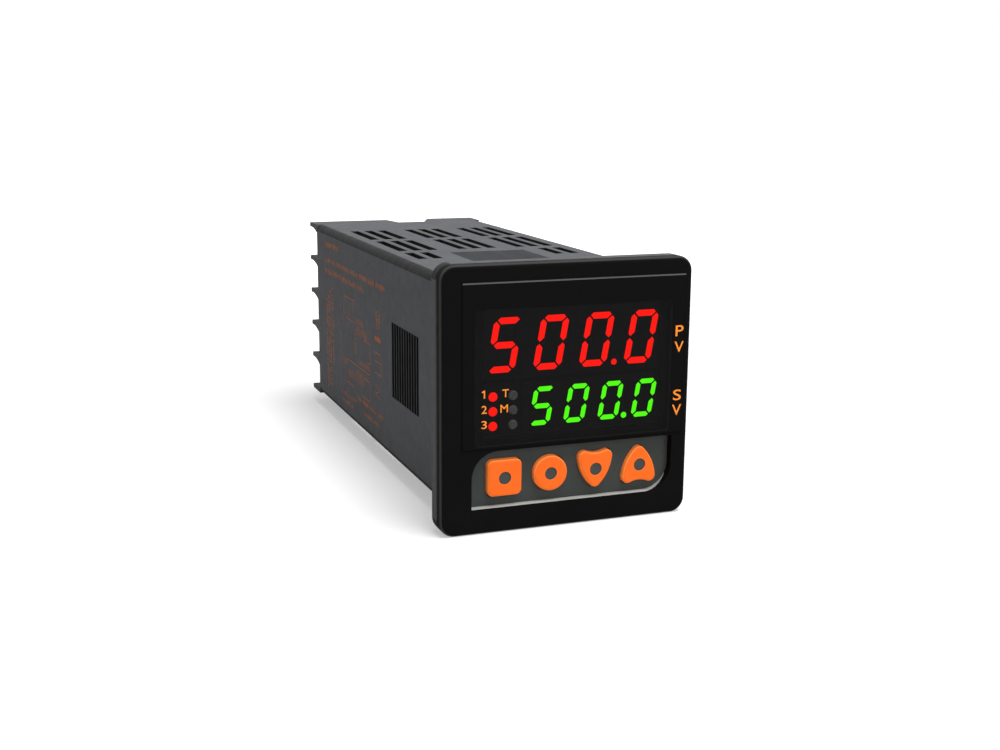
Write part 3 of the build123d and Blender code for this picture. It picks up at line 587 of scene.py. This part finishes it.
SIDE_ROWS = (
    (78.5, 90.6, 16.6, 1.1), (40.4, 91.6, 12.9, 1.1), (57.5, 91.9, 10.3, 1.2),
    (42.6, 62.5, -14.3, 1.0), (45.7, 58.8, -16.6, 0.9), (64.6, 78.4, -15.6, 0.9), (67.0, 76.0, -17.4, 0.8),
)
SIDE_COLUMNS = (
    (-17.4, 5.5, 90.0, 1.1), (-16.2, 6.0, 88.3, 1.1), (-16.8, 6.6, 86.6, 1.1), (-10.8, 7.4, 84.2, 1.1),
    (4.4, 7.9, 46.3, 1.3), (4.4, 7.9, 44.3, 1.3), (-4.6, 1.2, 63.8, 1.0),
)
DIAGRAM_PATHS = (
    [(73.3, 6.3), (73.3, 7.4), (64.7, 7.4), (64.7, 6.4)],
    [(74.4, 5.1), (74.4, 0.5)],
    [(69.6, 6.1), (69.6, 2.8)],
    [(66.0, 6.4), (66.0, 4.4)],
    [(72.2, 2.6), (64.4, 2.6)],
    [(57.1, 0.0), (52.2, 0.0), (52.2, -4.3), (54.3, -4.3)],
    [(71.0, -6.7), (52.4, -6.7)],
    [(72.0, -12.0), (65.3, -12.0)],
    [(57.6, -8.3), (52.5, -8.3), (52.5, -12.6), (58.6, -12.6)],
    [(48.3, -0.8), (44.0, -0.8)],
    [(48.4, -2.6), (43.5, -2.6), (43.5, -5.1), (48.4, -5.1)],
    [(48.0, -7.6), (44.8, -8.6), (48.0, -9.6), (44.8, -10.4)],
)
DIAGRAM_BLOCKS = (
    (57.6, 2.6, 63.6, 4.0), (54.6, 0.3, 63.4, 2.1), (71.2, -8.1, 76.0, -6.8),
    (52.6, -6.1, 61.2, -4.9), (57.8, -10.4, 63.6, -7.6), (66.0, -10.6, 70.2, -8.6),
)
FILLED_SQUARE = (43.9, 1.7, 48.3, 2.7)
HATCH_LEAN = 0.6
HATCH_WIDTH = 0.24
HATCH_PITCH = 1.0
DASH_LINE = (77.4, 4.8, -13.0)
DASH_LENGTH = 1.3
DASH_GAP = 0.7


def side_print():
    """The label printed on the sleeve, as fields of colour and simple shapes."""
    rng = random.Random(5)
    bm = bmesh.new()
    for start, end, bottom, height in SIDE_ROWS:
        text_row(bm, start, end, bottom, height, rng)
    for start, end, left, width in SIDE_COLUMNS:
        text_row(bm, start, end, left, width, rng, upright=True)
    for points in DIAGRAM_PATHS:
        path(bm, points)
    for left, bottom, right, top in DIAGRAM_BLOCKS:
        y = left
        while y < right:
            path(bm, [(y, bottom), (y + HATCH_LEAN, top)], HATCH_WIDTH)
            y += HATCH_PITCH
    prism(bm, rectangle(*FILLED_SQUARE), on_side, -FILM, FILM)
    y, z, end = DASH_LINE
    while z > end:
        path(bm, [(y, z), (y, z - DASH_LENGTH)])
        z -= DASH_LENGTH + DASH_GAP
    new_piece("side_print", bm, "side_print")


# Painted highlight: a light strip on the keypad field's lower wall, where light from above falls, ending in
# a taper round the corner
RIM_THICKNESS = 0.05
RIM_CORNER_R = 5.0
RIM_TURN = 0.7
RIM_STEPS = 12


def keypad_rim_highlight():
    """A painted highlight: a light strip along the bottom of the keypad recess, in front of the mat."""
    left, bottom, right = MAT_LOW.x, MAT_LOW.z, MAT_HIGH.x
    centre = (right - RIM_CORNER_R, bottom + RIM_CORNER_R)
    depth = MAT_LOW.y - BEZEL_FACE
    sections = [((left, bottom), (0.0, 1.0), 1.0), ((centre[0], bottom), (0.0, 1.0), 1.0)]
    for i in range(1, RIM_STEPS + 1):
        turn = RIM_TURN * math.pi / 2 * i / RIM_STEPS
        out = (math.sin(turn), -math.cos(turn))
        point = (centre[0] + RIM_CORNER_R * out[0], centre[1] + RIM_CORNER_R * out[1])
        sections.append((point, (-out[0], -out[1]), 1 - i / (RIM_STEPS + 1)))
    bm = bmesh.new()
    rings = []
    for (x, z), (inward_x, inward_z), share in sections:
        back = MAT_LOW.y - FILM
        front = back - (depth - 2 * FILM) * share
        ring = []
        for y, lift in ((back, 0), (front, 0), (front, RIM_THICKNESS), (back, RIM_THICKNESS)):
            ring.append(bm.verts.new(Vector((x + inward_x * lift, y, z + inward_z * lift)) * MM))
        rings.append(ring)
    for ring in (rings[0], rings[-1]):
        bm.faces.new(ring)
    for first, second in zip(rings, rings[1:]):
        for i in range(4):
            j = (i + 1) % 4
            bm.faces.new((first[i], first[j], second[j], second[i]))
    new_piece("keypad_rim_highlight", bm, "rim_highlight")


# Painted highlight: a bright line along the front plate's upper edge
LINE_HEIGHT = 0.26
LINE_MARGIN = 0.1


def plate_highlight_line():
    """A painted highlight: the thin light edge along the top of the front plate."""
    bm = bmesh.new()
    left, right = PLATE_LOW.x + LINE_MARGIN, PLATE_HIGH.x - LINE_MARGIN
    top = PLATE_HIGH.z - LINE_MARGIN
    prism(bm, rectangle(left, top - LINE_HEIGHT, right, top), on_front, -FILM, FILM / 2)
    new_piece("plate_highlight_line", bm, "line")


housing_shell()
front_print()
side_print()
keypad_rim_highlight()
plate_highlight_line()

# Camera, where the photograph was taken from, in millimetres and radians
CAMERA_PLACE = (-92.37, -213.64, 52.85)
CAMERA_YAW = 0.3633
CAMERA_PITCH = 0.2128
CAMERA_ROLL = 0.0074
CAMERA_LENS = 47.57


def add_camera():
    camera = bpy.data.cameras.new("camera")
    camera.sensor_width = 36
    camera.lens = CAMERA_LENS
    camera.clip_start = 0.01
    camera.clip_end = 20
    holder = bpy.data.objects.new("camera", camera)
    scene.collection.objects.link(holder)
    turn = (
        Matrix.Rotation(-CAMERA_YAW, 4, "Z")
        @ Matrix.Rotation(math.pi / 2 - CAMERA_PITCH, 4, "X")
        @ Matrix.Rotation(CAMERA_ROLL, 4, "Z")
    )
    holder.matrix_world = Matrix.Translation(Vector(CAMERA_PLACE) * MM) @ turn
    scene.camera = holder


def add_lamp(name, place, aim, size, power):
    """A soft square area lamp, placed and aimed in metres."""
    lamp = bpy.data.lights.new(name, "AREA")
    lamp.size = size
    lamp.energy = power
    holder = bpy.data.objects.new(name, lamp)
    scene.collection.objects.link(holder)
    direction = Vector(aim) - Vector(place)
    holder.matrix_world = Matrix.Translation(place) @ direction.to_track_quat("-Z", "Y").to_matrix().to_4x4()


def add_world(light, seen):
    """A plain world: dim for lighting, white where the camera, a mirror or glass looks at it."""
    world = bpy.data.worlds.new("studio")
    scene.world = world
    world.use_nodes = True
    tree = world.node_tree
    tree.nodes.clear()
    path_node = tree.nodes.new("ShaderNodeLightPath")
    seen_share = path_node.outputs["Is Camera Ray"]
    for ray in ("Is Transmission Ray", "Is Glossy Ray"):
        either = tree.nodes.new("ShaderNodeMath")
        either.operation = "MAXIMUM"
        tree.links.new(seen_share, either.inputs[0])
        tree.links.new(path_node.outputs[ray], either.inputs[1])
        seen_share = either.outputs[0]
    mix = tree.nodes.new("ShaderNodeMixShader")
    output = tree.nodes.new("ShaderNodeOutputWorld")
    tree.links.new(seen_share, mix.inputs["Fac"])
    for i, strength in enumerate((light, seen)):
        background = tree.nodes.new("ShaderNodeBackground")
        background.inputs["Color"].default_value = (1, 1, 1, 1)
        background.inputs["Strength"].default_value = strength
        tree.links.new(background.outputs[0], mix.inputs[i + 1])
    tree.links.new(mix.outputs[0], output.inputs["Surface"])


FLOOR_SIZE = 8.0
FLOOR_WHITE = 0.58
FLOOR_LIFT = (0.4, 1.0)
FLOOR_FADE = (0.12, 0.5)


def add_floor():
    """A pale floor under the bezel's lower edge, which runs out to white where the camera looks at it."""
    mesh = bpy.data.meshes.new("floor")
    half = FLOOR_SIZE / 2
    z = CAD_BOX[0][2]
    corners = [(-half, -half, z), (half, -half, z), (half, half, z), (-half, half, z)]
    mesh.from_pydata(corners, [], [(0, 1, 2, 3)])
    floor = bpy.data.objects.new("floor", mesh)
    scene.collection.objects.link(floor)
    look = Look("floor_white", 0.9, 0.0)
    look.shader.inputs["Base Color"].default_value = (FLOOR_WHITE, FLOOR_WHITE, FLOOR_WHITE, 1)
    look.shader.inputs["Emission Color"].default_value = (1, 1, 1, 1)
    away = look.node("ShaderNodeVectorMath", operation="LENGTH")
    look.link(look.place, away.inputs[0])
    lift = look.span(away.outputs["Value"], *FLOOR_FADE, *FLOOR_LIFT)
    camera_ray = look.node("ShaderNodeLightPath").outputs["Is Camera Ray"]
    look.link(look.math("MULTIPLY", lift, camera_ray), look.shader.inputs["Emission Strength"])
    mesh.materials.append(look.material)


add_camera()
add_floor()
add_world(light=0.3, seen=1.0)
add_lamp("overhead", (0.15, -0.2, 0.95), (0, 0.03, 0), 0.6, 12.3)
add_lamp("front_fill", (0.3, -1.0, 0.4), (0, 0, 0), 0.8, 5.5)
scene.view_settings.view_transform = "Standard"
